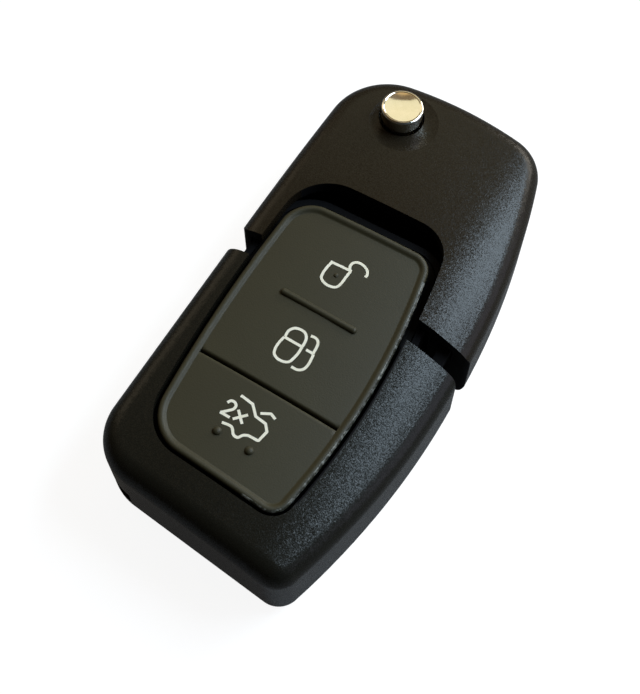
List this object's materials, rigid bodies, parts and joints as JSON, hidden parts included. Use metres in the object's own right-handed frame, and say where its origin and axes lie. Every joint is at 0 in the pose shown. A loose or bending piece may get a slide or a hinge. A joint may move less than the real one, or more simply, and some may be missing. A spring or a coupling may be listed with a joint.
{
  "type": "key fob shell",
  "caption": "Flip key fob shell whose blade swings out of the side, with a chrome release button and a rubber keypad; the halves stand slightly apart.",
  "frame": {"origin": "centre of the outline at the flat back, with the halves part open as pictured", "axes": "+X across the fob away from the blade slot, +Y along it towards the pivot end, +Z out of the key face"},
  "size_m": [0.0328, 0.0664, 0.0153],
  "materials": {
    "black_plastic": "satin, fine grained",
    "keypad_rubber": "matte",
    "chrome_plate": "polished",
    "blade_metal": "satin",
    "hub_metal": "cast",
    "screw_steel": "plated",
    "spring_steel": "drawn wire"
  },
  "bodies": {
    "head": {"head_front_cover": "black_plastic", "head_rear_cover": "black_plastic", "nose_screw": "screw_steel", "side_screw": "screw_steel", "spring_cup": "screw_steel", "hub_spring": "spring_steel"},
    "blade_arm": {"blade_hub": "hub_metal", "blade": "blade_metal", "blade_roll_pin": "screw_steel"},
    "button": {"lock_plunger": "hub_metal", "release_button": "chrome_plate"},
    "remote": {"remote_front_case": "black_plastic", "remote_rear_case": "black_plastic", "keypad_frame": "keypad_rubber"},
    "unlock": {"unlock_key": "keypad_rubber"},
    "lock": {"lock_key": "keypad_rubber"},
    "boot": {"boot_key": "keypad_rubber"}
  },
  "joints": [
    {"name": "blade_swing", "type": "hinge", "parent": "head", "child": "blade_arm", "pos_m": [-0.0074, 0.0267, 0.0035], "axis": [0, 0, -1], "range_deg": [0, 180]},
    {"name": "button_press", "type": "slide", "parent": "blade_arm", "child": "button", "axis": [0, 0, -1], "range_m": [0, 0.0015], "stiffness_N_per_m": 1500, "deforming": ["hub_spring"]},
    {"name": "remote_slide", "type": "slide", "parent": "head", "child": "remote", "axis": [0, 1, 0], "range_m": [-0.014, 0.003]},
    {"name": "unlock_press", "type": "slide", "parent": "remote", "child": "unlock", "axis": [0, 0, -1], "range_m": [0, 0.0004], "stiffness_N_per_m": 3000},
    {"name": "lock_press", "type": "slide", "parent": "remote", "child": "lock", "axis": [0, 0, -1], "range_m": [0, 0.0004], "stiffness_N_per_m": 3000},
    {"name": "boot_press", "type": "slide", "parent": "remote", "child": "boot", "axis": [0, 0, -1], "range_m": [0, 0.0004], "stiffness_N_per_m": 3000}
  ]
}
